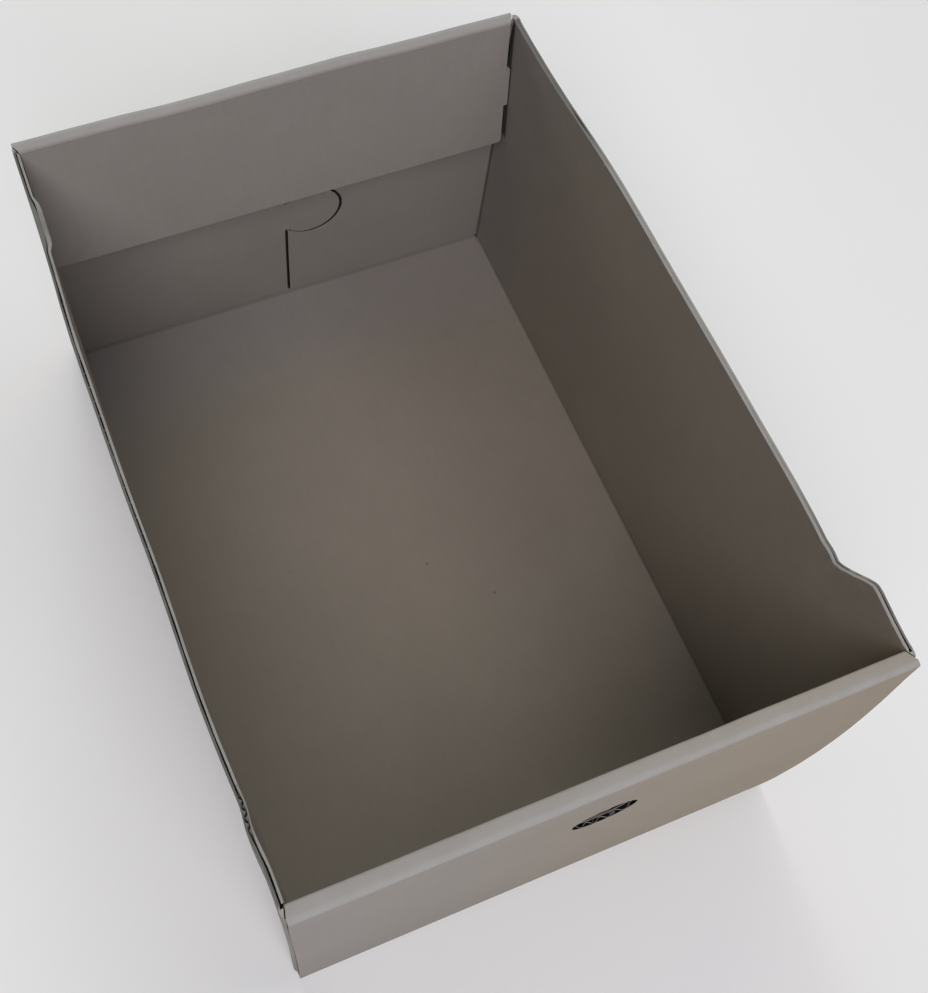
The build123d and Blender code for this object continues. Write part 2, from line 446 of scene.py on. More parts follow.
def kraft_facing(name, colours, sizes, gain=1.0):
    """Grey-brown recycled facing with fibres, specks and the faint ribs of the flutes, with a painted tint of
    the light, painted shade lines along inner corners and a painted highlight on the strips' folds
    """
    finish = Finish(name)
    place = finish.place()
    sheet = finish.node("ShaderNodeUVMap", {"uv_map": "sheet"})
    crease = finish.node("ShaderNodeAttribute", {"attribute_name": "crease"}, output=2)
    across = finish.node("ShaderNodeSeparateXYZ", None, {0: sheet})
    clouds = finish.noise(place, scale=11.0, detail=3.0)
    patches = finish.noise(place, scale=70.0, detail=4.0, roughness=0.6)
    stretched = finish.node(
        "ShaderNodeVectorMath", {"operation": "MULTIPLY"}, {0: sheet, 1: (260.0, 1500.0, 260.0)}
    )
    fibres = finish.noise(stretched, scale=1.0, detail=3.0, roughness=0.6)
    grain = finish.noise(place, scale=1900.0, roughness=0.6)
    ribs = (across * (2 * math.pi / sizes.flute_pitch)).sine()
    tone = (
        1.0
        + (clouds - 0.5) * 0.16
        + (patches - 0.5) * 0.12
        + (fibres - 0.5) * 0.2
        + (grain - 0.5) * 0.16
        + ribs * 0.006
    )
    along = finish.node("ShaderNodeSeparateXYZ", None, {0: place}, output=1)
    sideways = finish.node("ShaderNodeSeparateXYZ", None, {0: place})
    # Painted tint of the light: cooler towards the back and the front's left, warmer at the front's right
    front = (-along).between(*FRONT_TONE)
    coolness = along.between(*BACK_TONE) + front * sideways.between(*COOL_TONE)
    cooled = finish.mix(coolness, rgba(colours.facing), rgba(colours.cool_light_tint))
    paper = finish.mix(front * sideways.between(*WARM_TONE), cooled, rgba(colours.warm_light_tint))
    # Specks of dirt, and painted shade lines along the inner corners
    specks_and_shade_lines = [(Vector((1, 1, 1)), *speck) for speck in SPECKS]
    specks_and_shade_lines += [(Vector([float(i != axis) for i in range(3)]), *shade_line) for axis, *shade_line in CORNER_SHADE_LINES]
    for kept, spot, width, depth in specks_and_shade_lines:
        mark = (Vector(spot) + drawer_middle(sizes)) * kept
        seen = finish.node("ShaderNodeVectorMath", {"operation": "MULTIPLY"}, {0: place, 1: kept})
        away = finish.node("ShaderNodeVectorMath", {"operation": "DISTANCE"}, {0: seen, 1: mark}, output=1)
        tone = tone * (1 - away.between(width, 0.4 * width) * depth)
    toned = finish.scaled(paper, tone * gain)
    # Rubbing and painted highlight: the strips' tops turn greyer and lighter, most along their outer folds
    rubbed = finish.mix(crease * (0.55 + patches * 0.6), toned, rgba(colours.worn))
    height = ribs * 0.02 + (fibres - 0.5) * 0.05 + (grain - 0.5) * 0.05 + (patches - 0.5) * 0.12
    roughness = 0.78 + (patches - 0.5) * 0.12
    return finish.surface(rubbed, roughness, finish.bumpy(height, 0.6, 0.001), 0.3)


def kraft_cut(colours):
    """Paler, furry cut edge of the facings, made darker along marked stretches of the rims"""
    finish = Finish("kraft_cut")
    place = finish.place()
    rim_darkening = finish.node("ShaderNodeAttribute", {"attribute_name": "rim_darkening"}, output=2)
    fuzz = finish.noise(place, scale=1400.0, detail=3.0, roughness=0.7)
    patches = finish.noise(place, scale=90.0, detail=3.0)
    tone = (0.8 + fuzz * 0.3 + (patches - 0.5) * 0.3) * (1 - rim_darkening)
    toned = finish.scaled(colours.cut[:], tone)
    return finish.surface(toned, 0.9, finish.bumpy(fuzz, 0.7), 0.15)


def hollow_painted_shade(colours):
    """Painted shade: near-black paper inside flutes, slits and gaps, which no light reaches"""
    finish = Finish("hollow_painted_shade")
    fuzz = finish.noise(finish.place(), scale=900.0, roughness=0.6)
    toned = finish.scaled(colours.hollow[:], 0.6 + fuzz * 0.8)
    return finish.surface(toned, 0.95, finish.bumpy(fuzz, 0.5), 0.05)


def fluted_medium(colours):
    """Darker, rougher paper of the flutes"""
    finish = Finish("fluted_medium")
    place = finish.place()
    fuzz = finish.noise(place, scale=1100.0, detail=3.0, roughness=0.7)
    patches = finish.noise(place, scale=120.0, detail=3.0)
    toned = finish.scaled(colours.medium[:], 0.7 + fuzz * 0.4 + (patches - 0.5) * 0.4)
    return finish.surface(toned, 0.95, finish.bumpy(fuzz, 0.7), 0.1)


def drawer_middle(sizes):
    """The frame's place of the point midway between the drawer's four corners"""
    return Vector((BOX_HIGH.x - sizes.wall_reach, BOX_HIGH.y - sizes.half_depth, 0))


def add_piece(name, bm, materials, sizes):
    """Finished piece of the drawer, in its place and riding on the frame"""
    bmesh.ops.translate(bm, verts=bm.verts, vec=drawer_middle(sizes))
    for vert in bm.verts:
        vert.co = [min(max(at, low), high) for at, low, high in zip(vert.co, BOX_LOW, BOX_HIGH)]
    mesh = bpy.data.meshes.new(name)
    bm.to_mesh(mesh)
    bm.free()
    for material in materials:
        mesh.materials.append(material)
    piece = bpy.data.objects.new(name, mesh)
    bpy.context.scene.collection.objects.link(piece)
    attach(piece, "root")
    return piece


def point_on(face):
    """Point inside a face, also where the face is hollow at its middle"""
    if len(face.verts) <= 4:
        return face.calc_center_median()
    corners = [vert.co for vert in face.verts]
    triangles = [[corners[i] for i in triangle] for triangle in tessellate_polygon([corners])]
    widest = max(triangles, key=lambda triangle: area_tri(*triangle))
    return sum(widest, Vector()) / 3


def cut_faces(bm, faces, point, normal):
    """Cuts some faces along a plane"""
    edges = {edge for face in faces for edge in face.edges}
    verts = {vert for face in faces for vert in face.verts}
    bmesh.ops.bisect_plane(bm, geom=[*verts, *edges, *faces], dist=1e-7, plane_co=point, plane_no=normal)


def cut_planes(bm, axis, places, wanted=None):
    """Cuts every wanted face that crosses the planes across one axis"""
    normal = Vector((0, 0, 0))
    normal[axis] = 1
    for place in places:
        faces = [
            face
            for face in bm.faces
            if min(v.co[axis] for v in face.verts) < place < max(v.co[axis] for v in face.verts)
            and (wanted is None or wanted(face))
        ]
        cut_faces(bm, faces, normal * place, normal)


def even_places(low, high, cell):
    count = math.ceil((high - low) / cell)
    return [low + (high - low) * (i + 0.5) / count for i in range(count)]


def drift(point, wavelength, seed):
    """Slow wave between -1 and 1"""
    return noise.noise(point / wavelength + Vector((seed, 2.3 * seed, -seed)))


def bump(value, middle, reach):
    """1 at the middle, falling smoothly to 0 at a reach to both sides"""
    return max(0.0, 1 - ((value - middle) / reach) ** 2) ** 2


def bumps(value, table):
    """Push of all bumps of a table at one place"""
    return sum(push * bump(value, middle, reach) for middle, reach, push in table)


def ramp(value, start, end):
    """0 up to the start, rising smoothly to 1 at the end"""
    share = min(1.0, max(0.0, (value - start) / (end - start)))
    return share * share * (3 - 2 * share)


def crisp_fold(across, up):
    """Point of a round fold, from its centre, pushed out towards a sharper corner"""
    if across <= 0 or up <= 0:
        return across, up
    reach = math.hypot(across, up)
    gain = ((across / reach) ** 4 + (up / reach) ** 4) ** -0.25
    return across * gain, up * gain


def strip_width(sizes):
    """Width of the flat strip on top of a rolled end"""
    return 3 * sizes.board + 2 * sizes.ply_gap


def layer_middle(layer, sizes):
    """Place of the middle of one of the front's three layers, counted from outside"""
    return -sizes.half_depth + sizes.board / 2 + layer * (sizes.board + sizes.ply_gap)


def warped(point, sizes):
    """Where a point of the neat board ends up on the real, worn and slightly wavy one"""
    x, y, z = point
    fold = sizes.crease + sizes.board
    strip = strip_width(sizes)
    end = math.copysign(1, y)
    height = sizes.front_height if y < 0 else sizes.side_height
    inward = sizes.half_depth - abs(y)
    if z > height - fold and inward < strip:
        across, up = crisp_fold(fold - inward, z - height + fold)
        inward = fold - across
        z = height - fold + up
        across, up = crisp_fold(inward - strip + fold, z - height + fold)
        inward = strip - fold + across
        z = height - fold + up
    inward -= sizes.squeeze * min(1.0, inward / strip) * ramp(inward, strip + 0.06, strip) * ramp(z, 0, 0.05)
    y = end * (sizes.half_depth - inward)

    low = 1 - min(1.0, z / sizes.side_height)
    outer = ramp(abs(x), sizes.half_width - 0.02, sizes.half_width - sizes.board)
    if x < 0:
        step_bulge = sizes.step_bulge * ramp(y, *BULGE_RUN)
        x -= (bumps(y, LEFT_RIM_BUMPS) + step_bulge) * (1 - low) ** 2 * outer
        tuck = ramp(y, *TUCK_RUN) * ramp(y, *TUCK_END)
        x += sizes.tuck * min(1.0, 3 * low) * tuck * outer
    else:
        x += bumps(y, RIGHT_RIM_BUMPS) * ramp(z, *BUMP_RISE) * outer
    wave = drift(Vector((0, y, z * 0.5 + math.copysign(0.3, x))), wavelength=0.07, seed=3.1)
    x += sizes.warp * outer * (1 - low) * wave

    strip_share = ramp(inward, strip + 0.004, strip - 0.002)
    top = strip_share * ramp(z, height - 0.02, height - 0.004)
    if y < 0:
        y -= sizes.strip_press * top * (1 - inward / strip)
        z -= sizes.strip_dip * top * (1 + drift(Vector((x, y, 0)), wavelength=0.02, seed=4.4))
    else:
        z += top * bumps(x, BACK_STRIP_BUMPS)
        z += sizes.strip_lumps * top * drift(Vector((x, y, 0)), wavelength=0.018, seed=6.2)
    y += end * sizes.strip_lumps * top * drift(Vector((x, 0, 0)), wavelength=0.03, seed=9.1)
    return Vector((x, y, z))


def sheet_place(point, normal):
    """Place on the flat sheet: across the flutes, then along them"""
    x, y, z = point
    if abs(normal.x) > max(abs(normal.y), abs(normal.z)):
        return z, y
    if abs(normal.z) > abs(normal.y):
        return x, y
    return x, z


def rounded(corners, radius):
    """Run of points through the corners, with an arc of that radius at each inner one"""
    run = [Vector(corners[0])]
    for before, corner, after in zip(corners, corners[1:], corners[2:]):
        corner = Vector(corner)
        back = (Vector(before) - corner).normalized()
        on = (Vector(after) - corner).normalized()
        half = back.angle(on) / 2
        centre = corner + (back + on).normalized() * (radius / math.sin(half))
        first = (corner + back * (radius / math.tan(half)) - centre).normalized()
        last = (corner + on * (radius / math.tan(half)) - centre).normalized()
        run += [centre + first.slerp(last, i / 6) * radius for i in range(7)]
    run.append(Vector(corners[-1]))
    return run


def walk(run, share):
    """Place and direction at a share of the way along a run of points"""
    lengths = [(b - a).length for a, b in zip(run, run[1:])]
    left = share * sum(lengths)
    for a, b, length in zip(run, run[1:], lengths):
        if left <= length or b is run[-1]:
            return a + (b - a) * min(1.0, left / length), (b - a).normalized()
        left -= length


def side_rim(sizes):
    """Cut top edge of a side wall, from front to back, as places and heights"""
    front = -sizes.half_depth
    return rounded(
        [
            (front, sizes.front_height),
            (front + sizes.step_top, sizes.front_height),
            (front + sizes.step_foot, sizes.side_height),
            (sizes.half_depth, sizes.side_height),
        ],
        sizes.step_round,
    )


def height_at(rim, y):
    for before, after in zip(rim, rim[1:]):
        if y <= after.x:
            return before.y + (after.y - before.y) * (y - before.x) / (after.x - before.x)
    return rim[-1].y


def neat_copy(sizes):
    """The CAD board, merged and placed about the middle of its corners"""
    bm = bmesh.new()
    bm.from_mesh(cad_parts[NODE].data)
    bmesh.ops.remove_doubles(bm, verts=bm.verts, dist=1e-6)
    bmesh.ops.translate(bm, verts=bm.verts, vec=-drawer_middle(sizes))
    return bm


def wall_middle(tree, side, y, z, sizes):
    """How far the middle of a side wall stands from the drawer's middle"""
    spot = tree.ray_cast(Vector((side * 0.3, y, z)), Vector((-side, 0, 0)))[0]
    return abs(spot.x) - sizes.board / 2


def half_slit(side, y, sizes):
    """Half of the gap between the facings along a side wall's cut edge"""
    wobble = 1 + 0.6 * drift(Vector((y, side, 0)), wavelength=0.015, seed=7.7)
    step = bump(y, *GAPING_STEP)
    front = ramp(y, *RIGHT_OPEN_RUN)
    if side < 0:
        slit = sizes.slit_left * wobble + 0.7 * (sizes.slit_open - sizes.slit_left) * step
        return max(LEAST_LEFT, slit * (1 - bump(y, sizes.crush_place, sizes.crush_reach)))
    slit = sizes.slit_right * wobble * (1 + 4 * front)
    return max(LEAST_RIGHT, slit * (1 - 0.8 * step) + RIGHT_WIDER * bump(y, *RIGHT_GAP))


def crushed(side, y, depth, across, sizes):
    """How far a point of the rim is pushed in, and down, where the left rim is crushed"""
    if side > 0 or depth > CRUSH_DEPTHS:
        return 0.0, 0.0
    push = ramp(abs(y - sizes.crush_place), sizes.crush_reach, 0.6 * sizes.crush_reach)
    push *= (1 - depth / CRUSH_DEPTHS) ** 2
    share = 0.5 - across / sizes.board
    return sizes.crush_depth * push * share, CRUSH_SAG * push * (0.3 + 0.7 * share)


def rim_point(point, tree, rim, sizes):
    """Where a point of a side wall's cut edge goes as its facings close, gape or curl"""
    x, y, z = point
    depth = (height_at(rim, y) - z) / sizes.groove_depth
    beside = abs(x) < sizes.half_width - sizes.board - 0.0005 or abs(y) > sizes.wall_end - 0.0001
    if depth > CRUSH_DEPTHS or beside:
        return point
    side = math.copysign(1, x)
    middle = wall_middle(tree, side, y, min(z, height_at(rim, y) - HAIR), sizes)
    across = abs(x) - middle
    core = sizes.board / 2 - sizes.liner
    if abs(abs(across) - core) < HAIR and depth < IN_GROOVE:
        slit = half_slit(side, y, sizes) * (1 - depth) + core * depth
        across = math.copysign(slit, across)
    elif depth < AT_EDGE and across < 0:
        z -= INNER_WEAR
    elif depth < AT_EDGE:
        z -= RIGHT_WEAR if side > 0 else LEFT_WEAR
    inward, drop = crushed(side, y, max(depth, 0), across, sizes)
    return Vector((side * (middle + across - inward), y, z - drop))


def seated(point):
    """Point of the board, with the back corners' feet set down so that the corners are closed"""
    x, y, z = point
    if abs(x) > FOOT_INSIDE and y > FOOT_FRONT and FOOT_LOW < z < FOOT_HIGH:
        return Vector((x, y, FOOT_SEAT))
    return point


def hole_point(point, sizes):
    """Point of the finger hole's open flutes, moved out until the facings are thin"""
    radius = math.hypot(point.x - sizes.hole_place, point.z - sizes.hole_height)
    if not sizes.hole_radius - HAIR < radius < sizes.hole_radius + sizes.groove_depth + HAIR:
        return point
    for layer in range(3):
        middle = layer_middle(layer, sizes)
        if abs(abs(point.y - middle) - sizes.board / 2 + sizes.liner) < 0.0002:
            spread = math.copysign(sizes.slit_open + 0.00012, point.y - middle)
            return Vector((point.x, middle + spread, point.z))
    return point


def flute(across, phase, half_gap, sizes):
    """How far the middle sheet stands from the middle of the board"""
    swing = max(FLUTE_ROOM, half_gap - sizes.medium / 2 - FLUTE_ROOM)
    return swing * math.sin(2 * math.pi * (across + phase) / sizes.flute_pitch)


def add_sheet(bm, columns, rows, spot, sizes, lit=lambda u, v: v < 0.3):
    """Thin sheet whose middle follows spot(u, v), with painted shade where light doesn't reach"""
    made = bmesh.ops.create_grid(bm, x_segments=columns, y_segments=rows, size=0.5)["verts"]
    faces = list({face for vert in made for face in vert.link_faces})
    for face in faces:
        u, v, _ = face.calc_center_median() + Vector((0.5, 0.5, 0))
        face.material_index = LIT if lit(u, v) else UNLIT
    for vert in made:
        vert.co = warped(spot(vert.co.x + 0.5, vert.co.y + 0.5), sizes)
    bmesh.ops.solidify(bm, geom=faces, thickness=sizes.medium)


def finish_flutes(name, bm, colours, sizes):
    bmesh.ops.recalc_face_normals(bm, faces=bm.faces)
    for face in bm.faces:
        face.smooth = True
    for edge in bm.edges:
        edge.smooth = edge.is_manifold and edge.calc_face_angle() < math.radians(40)
    return add_piece(name, bm, [fluted_medium(colours), hollow_painted_shade(colours)], sizes)


class DRAWER_OT_rim_flutes(bpy.types.Operator):
    """Fluted middle sheet that shows along the cut top edge of both side walls"""

    bl_idname = "drawer.rim_flutes"
    bl_label = "Rim Flutes"

    def execute(self, context):
        sizes = context.scene.drawer_sizes
        neat = neat_copy(sizes)
        tree = BVHTree.FromBMesh(neat)
        neat.free()
        rim = side_rim(sizes)
        core = sizes.board / 2 - sizes.liner
        bm = bmesh.new()
        for side, lean in RIM_LEANS:

            def along(u):
                share = FRONT_SHARE * u / FRONT_COLUMNS
                if u >= FRONT_COLUMNS:
                    share = 1 - (1 - FRONT_SHARE) * (1 - u) / (1 - FRONT_COLUMNS)
                return (2 * share - 1) * (sizes.wall_end - 0.0005)

            def spot(u, v):
                y = along(u)
                gape = bump(y, *GAPING_FLUTES)
                depth = SHEET_TOP - SHEET_RISE * gape
                depth += v * (SHEET_FOOT - depth)
                z = height_at(rim, y) - depth * sizes.groove_depth
                gap = half_slit(side, y, sizes) * (1 - depth) + core * depth
                across = flute(z, RIM_PHASE + lean * y, gap, sizes)
                inward, drop = crushed(side, y, depth, across, sizes)
                stand = wall_middle(tree, side, y, z, sizes) + across - inward
                return Vector((side * stand, y, z - drop))

            def lit(u, v):
                return v < 0.5 and abs(along(u) - GAPING_FLUTES[0]) < LIT_REACH

            add_sheet(bm, 300, 6, spot, sizes, lit)
        finish_flutes("rim_flutes", bm, context.scene.drawer_colours, sizes)
        return {"FINISHED"}


class DRAWER_OT_hole_flutes(bpy.types.Operator):
    """Fluted middle sheets of the three layers around the finger hole"""

    bl_idname = "drawer.hole_flutes"
    bl_label = "Hole Flutes"

    def execute(self, context):
        sizes = context.scene.drawer_sizes
        centre = Vector((sizes.hole_place, 0, sizes.hole_height))
        bm = bmesh.new()
        for layer, phase in enumerate(HOLE_PHASES):
            spoke = [
                bm.verts.new(centre + Vector((sizes.hole_radius + reach, 0, 0)))
                for reach in (0.0002, 0.0011, 0.002, sizes.groove_depth - 0.0001)
            ]
            edges = [bm.edges.new(pair) for pair in zip(spoke, spoke[1:])]
            bmesh.ops.spin(
                bm, geom=[*spoke, *edges], cent=centre, axis=(0, 1, 0), angle=2 * math.pi, steps=160,
                use_merge=True,
            )
            ring = {vert for vert in bm.verts if vert.co.y == 0.0}
            faces = list({face for vert in ring for face in vert.link_faces})
            for face in faces:
                away = (face.calc_center_median() - centre).length
                face.material_index = LIT if away < sizes.hole_radius + HOLE_LIT else UNLIT
            for vert in ring:
                across = vert.co.z if layer == 1 else vert.co.x
                vert.co.y = layer_middle(layer, sizes) + flute(across, phase, sizes.slit_open, sizes)
                vert.co = warped(vert.co, sizes)
            bmesh.ops.solidify(bm, geom=faces, thickness=sizes.medium)
        finish_flutes("hole_flutes", bm, context.scene.drawer_colours, sizes)
        return {"FINISHED"}


class DRAWER_OT_end_flutes(bpy.types.Operator):
    """Fluted middle sheets that show along the cut sides of both ends and the flap's lower edge"""

    bl_idname = "drawer.end_flutes"
    bl_label = "End Flutes"

    def execute(self, context):
        sizes = context.scene.drawer_sizes
        half = sizes.board / 2
        core = half - sizes.liner
        ply = sizes.board + sizes.ply_gap
        fold = sizes.crease + half
        lean = math.radians(sizes.flap_lean)
        flap_top = Vector((sizes.half_depth - 2 * ply - half, sizes.side_height - half))
        flap_foot = flap_top + Vector((-math.sin(lean), -math.cos(lean))) * (sizes.flap_length - half)
        low = 0.006
        front = rounded(
            [
                (-sizes.half_depth + half, low),
                (-sizes.half_depth + half, sizes.front_height - half),
                (-sizes.half_depth + half + 2 * ply, sizes.front_height - half),
                (-sizes.half_depth + half + 2 * ply, low),
            ],
            fold,
        )
        back = rounded(
            [
                (sizes.half_depth - half, low),
                (sizes.half_depth - half, sizes.side_height - half),
                flap_top,
                flap_foot,
            ],
            fold,
        )
        bm = bmesh.new()
        for run, side, outer, inner in (
            (front, -1, sizes.front_left, sizes.lining_left),
            (front, 1, sizes.front_right, sizes.lining_right),
            (back, -1, sizes.back_left, sizes.flap_left),
            (back, 1, sizes.back_right, sizes.flap_right),
        ):

            def spot(u, v):
                (y, z), way = walk(run, u)
                share = (sizes.half_depth - sizes.board - abs(y)) / (2 * ply)
                edge = outer + (inner - outer) * min(1.0, max(0.0, share))
                x = side * (edge - HAIR - v * (sizes.groove_depth - GROOVE_SPARE))
                lift = flute(x, END_PHASE, core, sizes)
                if run is front and side > 0 and share < 0:
                    swell = (2 * z - sizes.front_height) / (sizes.front_height - SPRING_FOLDS)
                    y -= sizes.spring * max(0.0, 1 - swell**2) * (1 - v * SPRING_FADE)
                return Vector((x, y - way.y * lift, z + way.x * lift))

            add_sheet(bm, 90, 5, spot, sizes)

        def lower_edge(u, v):
            x = -sizes.flap_left + FLAP_INSET + u * (sizes.flap_left + sizes.flap_right - 2 * FLAP_INSET)
            back_in = HAIR + v * (sizes.groove_depth - GROOVE_SPARE)
            lift = flute(x, END_PHASE, core, sizes)
            y = flap_foot.x + math.sin(lean) * back_in + math.cos(lean) * lift
            z = flap_foot.y + math.cos(lean) * back_in - math.sin(lean) * lift
            return Vector((x, y, z))

        add_sheet(bm, 420, 3, lower_edge, sizes)
        finish_flutes("end_flutes", bm, context.scene.drawer_colours, sizes)
        return {"FINISHED"}


class DRAWER_OT_folded_board(bpy.types.Operator):
    """Folded sheet of corrugated board, with its waves, rubbed folds with a painted highlight, cut edges and
    painted shade in its gaps
    """

    bl_idname = "drawer.folded_board"
    bl_label = "Folded Board"

    def execute(self, context):
        sizes = context.scene.drawer_sizes
        colours = context.scene.drawer_colours
        bm = neat_copy(sizes)
        tree = BVHTree.FromBMesh(bm)
        bmesh.ops.dissolve_limit(bm, angle_limit=math.radians(0.03), verts=bm.verts, edges=bm.edges)
        self.cut(bm, sizes)
        self.sort(bm, tree, sizes)
        rim = side_rim(sizes)
        self.mark(bm, tree, rim, sizes)
        for vert in bm.verts:
            place = hole_point(rim_point(vert.co, tree, rim, sizes), sizes)
            vert.co = warped(seated(place), sizes)
        for face in bm.faces:
            face.smooth = True
        for edge in bm.edges:
            edge.smooth = edge.is_manifold and edge.calc_face_angle() < math.radians(38)
        materials = [
            kraft_facing("kraft_facing", colours, sizes),
            kraft_cut(colours),
            hollow_painted_shade(colours),
            # Painted shade: the facing at 0.3 of its brightness, for the side walls behind the flap
            kraft_facing("kraft_shade", colours, sizes, 0.3),
        ]
        piece = add_piece("board", bm, materials, sizes)
        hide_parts(NODE)
        return {"FINISHED"}

    def cut(self, bm, sizes):
        """Cuts the board along its folds, behind the flap, along its rims and into even cells"""
        cell = sizes.cell
        fold = sizes.crease + sizes.board + HAIR
        cut_planes(bm, 0, [-sizes.half_width + fold, sizes.half_width - fold])
        cut_planes(bm, 1, [-sizes.half_depth + fold, sizes.half_depth - fold])
        cut_planes(bm, 2, [fold, sizes.side_height - fold, sizes.front_height - fold])
        point, normal = self.flap_plane(sizes)
        behind = [
            face
            for face in bm.faces
            if abs(face.calc_center_median().x) > sizes.half_width - 2 * sizes.board
            and max(v.co.y for v in face.verts) > FLAP_FRONT
        ]
        cut_faces(bm, behind, point, normal)
        low, high = BOX_LOW - drawer_middle(sizes), BOX_HIGH - drawer_middle(sizes)
        for axis in (0, 1, 2):
            cut_planes(bm, axis, even_places(low[axis], high[axis], cell))
        rim = side_rim(sizes)

        def near_rim(face):
            spot = face.calc_center_median()
            return abs(spot.x) > RIM_INSIDE and spot.z > height_at(rim, spot.y) - sizes.groove_depth - 0.0005

        cut_planes(bm, 1, even_places(-sizes.wall_end, sizes.wall_end, cell / 3), near_rim)

    def flap_plane(self, sizes):
        """Plane of the back flap's front face"""
        lean = math.radians(sizes.flap_lean)
        point = Vector((0, sizes.half_depth - strip_width(sizes), sizes.side_height))
        return point, Vector((0, math.cos(lean), -math.sin(lean)))

    def sort(self, bm, tree, sizes):
        """Gives each face the finish of a facing, lit or in painted shade behind the flap, of a cut edge or
        of a hollow in painted shade
        """
        point, normal = self.flap_plane(sizes)
        foot = sizes.side_height - sizes.flap_length
        for face in bm.faces:
            spot = point_on(face)
            skin_deep = face.normal * SKIN
            inside = tree.ray_cast(spot - skin_deep, -face.normal)[3]
            across = tree.ray_cast(spot + skin_deep, face.normal)[3]
            thin = inside is not None and inside < LAYER_LIMIT * sizes.board
            face.material_index = FACING if thin else CUT
            hidden = (spot - point).dot(normal) > 0 and foot < spot.z < sizes.side_height - sizes.board
            hidden = hidden and abs(face.normal.x) > 0.9 and sizes.flap_right < abs(spot.x) < sizes.half_width
            # Painted shade: side wall faces behind the flap get the darkened copy of the facing
            if hidden:
                face.material_index = SHADE
            # Painted shade: faces across a narrow air gap and the hole's inner layers get the near-black
            # hollow finish
            elif (across is not None and across < DARK_GAP) or self.deep_in_hole(face, sizes):
                face.material_index = HOLLOW_SHADE
        for face in [face for face in bm.faces if face.material_index == CUT]:
            walls = [
                edge.calc_length()
                for edge in face.edges
                if edge.calc_face_angle_signed(0.0) < FOLDED_IN
                and any(other.material_index == HOLLOW_SHADE for other in edge.link_faces)
            ]
            if sum(walls) > WALLED_SHARE * sum(edge.calc_length() for edge in face.edges):
                face.material_index = HOLLOW_SHADE

    def deep_in_hole(self, face, sizes):
        """True for the finger hole's edge in the two inner layers, which gets painted shade"""
        spot = face.calc_center_median()
        away = math.hypot(spot.x - sizes.hole_place, spot.z - sizes.hole_height)
        inner = -sizes.half_depth + sizes.board < spot.y < 0 and abs(face.normal.y) < 0.5
        return inner and away < sizes.hole_radius + 0.0004

    def mark(self, bm, tree, rim, sizes):
        """Marks the rubbed folds with their painted highlight and the darker stretches of the rims' edges,
        and lays the flat sheet's places on the faces
        """
        crease = bm.verts.layers.float.new("crease")
        rim_darkening = bm.verts.layers.float.new("rim_darkening")
        sheet = bm.loops.layers.uv.new("sheet")
        for face in bm.faces:
            for loop in face.loops:
                loop[sheet].uv = sheet_place(loop.vert.co, face.normal)
        strip = strip_width(sizes)
        for vert in bm.verts:
            height = sizes.front_height if vert.co.y < 0 else sizes.side_height
            inward = sizes.half_depth - abs(vert.co.y)
            top = ramp(vert.co.z, height - RUB_LOW, height - RUB_HIGH) * ramp(inward, strip, strip - RUB_EDGE)
            corner = math.hypot(inward - RUB_EDGE, vert.co.z - height)
            vert[crease] = top * (RUB_SHARE + (1 - RUB_SHARE) * max(0.0, 1 - corner / FOLD_HIGHLIGHT_REACH))
            place, height = vert.co.y, height_at(rim, vert.co.y)
            if abs(vert.co.x) < sizes.half_width - 0.005 or vert.co.z < height - 0.0002:
                continue
            if abs(place) > sizes.wall_end - 0.0001:
                continue
            side = math.copysign(1, vert.co.x)
            outer = abs(vert.co.x) > wall_middle(tree, side, place, height - HAIR, sizes)
            if side > 0:
                dull = ramp(place, *RIGHT_BACK_RUN) + outer * ramp(place, *RIGHT_DULL_RUN)
                vert[rim_darkening] = RIGHT_DARKENING * dull
            elif outer:
                vert[rim_darkening] = LEFT_DARKENING
            else:
                vert[rim_darkening] = CRUSH_DARKENING * bump(place, sizes.crush_place, sizes.crush_reach)


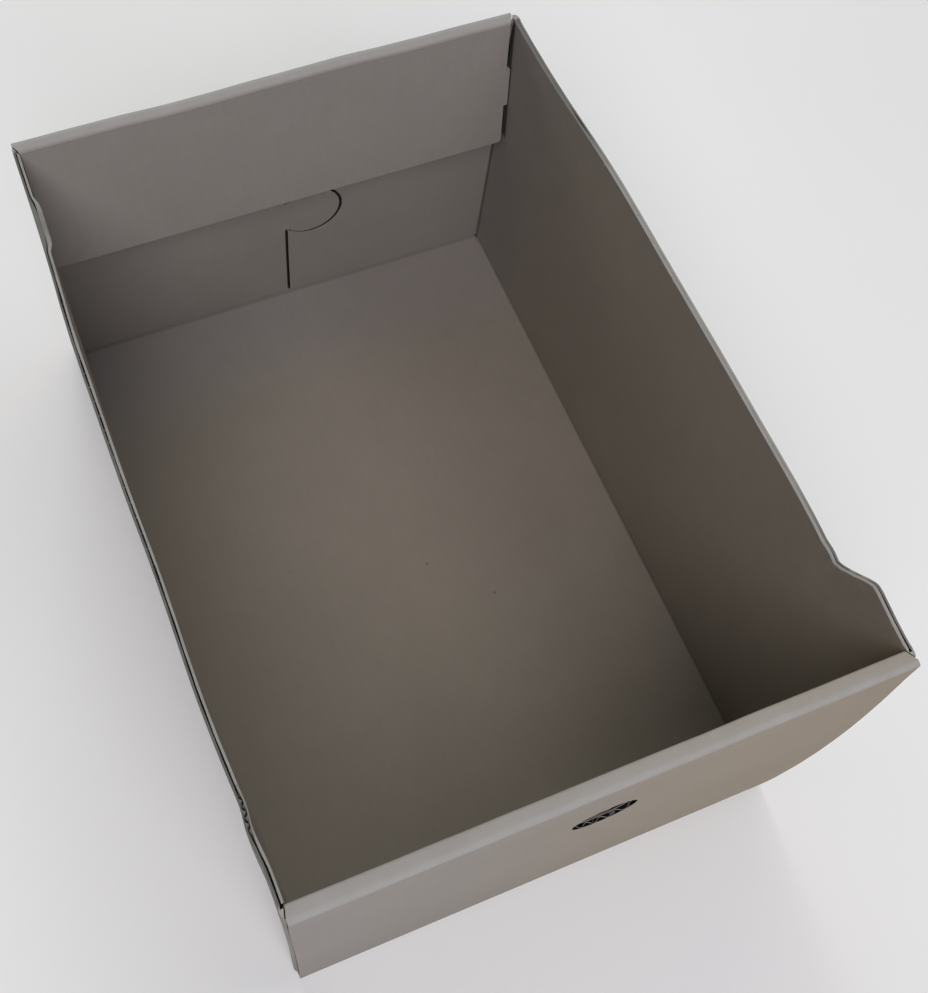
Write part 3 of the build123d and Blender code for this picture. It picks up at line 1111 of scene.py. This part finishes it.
class DRAWER_OT_stage(bpy.types.Operator):
    """Pale floor, soft lights and the camera"""

    bl_idname = "drawer.stage"
    bl_label = "Stage"

    # In metres: half of the floor's width, and height that the lights aim at
    FLOOR_REACH, AIM = 6.0, 0.1
    # Name, degrees round from the right, degrees up, share of the power, colour
    LIGHTS = (
        ("window_front", 270, 25, 0.215, (0.93, 0.95, 1.0)),
        ("window_left", 240, 55, 0.3, (1.0, 0.96, 0.98)),
        ("window_back", 90, 25, 0.3, (0.96, 1.0, 1.0)),
        ("window_back_right", 60, 55, 0.1, (1.0, 0.95, 0.85)),
        ("window_right", 0, 55, 0.085, (0.9, 0.93, 1.0)),
    )

    def execute(self, context):
        self.floor(context)
        for name, around, up, share, colour in self.LIGHTS:
            self.light(context, name, around, up, share, colour)
        world = bpy.data.worlds.new("studio_air")
        context.scene.world = world
        world.use_nodes = True
        background = world.node_tree.nodes["Background"]
        background.inputs["Color"].default_value = (1.0, 1.0, 1.0, 1.0)
        background.inputs["Strength"].default_value = context.scene.drawer_stage.sky
        self.camera(context)
        context.scene.view_settings.view_transform = "Standard"
        return {"FINISHED"}

    def floor(self, context):
        bm = bmesh.new()
        bmesh.ops.create_grid(bm, x_segments=1, y_segments=1, size=self.FLOOR_REACH)
        mesh = bpy.data.meshes.new("floor")
        bm.to_mesh(mesh)
        bm.free()
        floor = bpy.data.objects.new("floor", mesh)
        context.scene.collection.objects.link(floor)
        finish = Finish("pale_floor")
        dust = finish.noise(finish.place(), 3.0)
        pale = finish.mix(dust, (0.82, 0.82, 0.82, 1.0), (0.86, 0.86, 0.86, 1.0))
        mesh.materials.append(finish.surface(pale, 0.9, finish.bumpy(dust, 0.02, 0.001), 0.1))

    def camera(self, context):
        stage = context.scene.drawer_stage
        data = bpy.data.cameras.new("camera")
        data.lens = stage.lens
        data.sensor_width = 36.0
        data.shift_x = stage.shift_x
        data.shift_y = stage.shift_y
        data.clip_start = 0.01
        camera = bpy.data.objects.new("camera", data)
        camera.location = Vector(stage.camera_place) + drawer_middle(context.scene.drawer_sizes)
        camera.rotation_euler = Euler(stage.camera_turn)
        context.scene.collection.objects.link(camera)
        context.scene.camera = camera

    def light(self, context, name, around, up, share, colour):
        stage = context.scene.drawer_stage
        data = bpy.data.lights.new(name, "AREA")
        data.shape = "DISK"
        data.size = stage.light_size
        data.energy = stage.light * share
        data.color = colour
        lamp = bpy.data.objects.new(name, data)
        way = Vector((1, 0, 0))
        way.rotate(Euler((0, -math.radians(up), math.radians(around))))
        lamp.location = Vector((0, 0, self.AIM)) + way * stage.light_reach
        lamp.rotation_euler = way.to_track_quat("Z", "Y").to_euler()
        context.scene.collection.objects.link(lamp)


class DRAWER_PT_sidebar(bpy.types.Panel):
    """Steps that make the drawer"""

    bl_idname = "DRAWER_PT_sidebar"
    bl_label = "Cardboard Drawer"
    bl_space_type = "VIEW_3D"
    bl_region_type = "UI"
    bl_category = "Drawer"

    def draw(self, context):
        for step in STEPS:
            self.layout.operator(step.bl_idname)


STEPS = (
    DRAWER_OT_folded_board,
    DRAWER_OT_rim_flutes,
    DRAWER_OT_hole_flutes,
    DRAWER_OT_end_flutes,
    DRAWER_OT_stage,
)
CLASSES = (DrawerSizes, DrawerColours, DrawerStage, *STEPS, DRAWER_PT_sidebar)


def register():
    for item in CLASSES:
        bpy.utils.register_class(item)
    bpy.types.Scene.drawer_sizes = PointerProperty(type=DrawerSizes)
    bpy.types.Scene.drawer_colours = PointerProperty(type=DrawerColours)
    bpy.types.Scene.drawer_stage = PointerProperty(type=DrawerStage)


def unregister():
    del bpy.types.Scene.drawer_stage
    del bpy.types.Scene.drawer_colours
    del bpy.types.Scene.drawer_sizes
    for item in reversed(CLASSES):
        bpy.utils.unregister_class(item)


def main():
    register()
    bpy.ops.drawer.folded_board()
    bpy.ops.drawer.rim_flutes()
    bpy.ops.drawer.hole_flutes()
    bpy.ops.drawer.end_flutes()
    bpy.ops.drawer.stage()


if __name__ == "__main__":
    main()
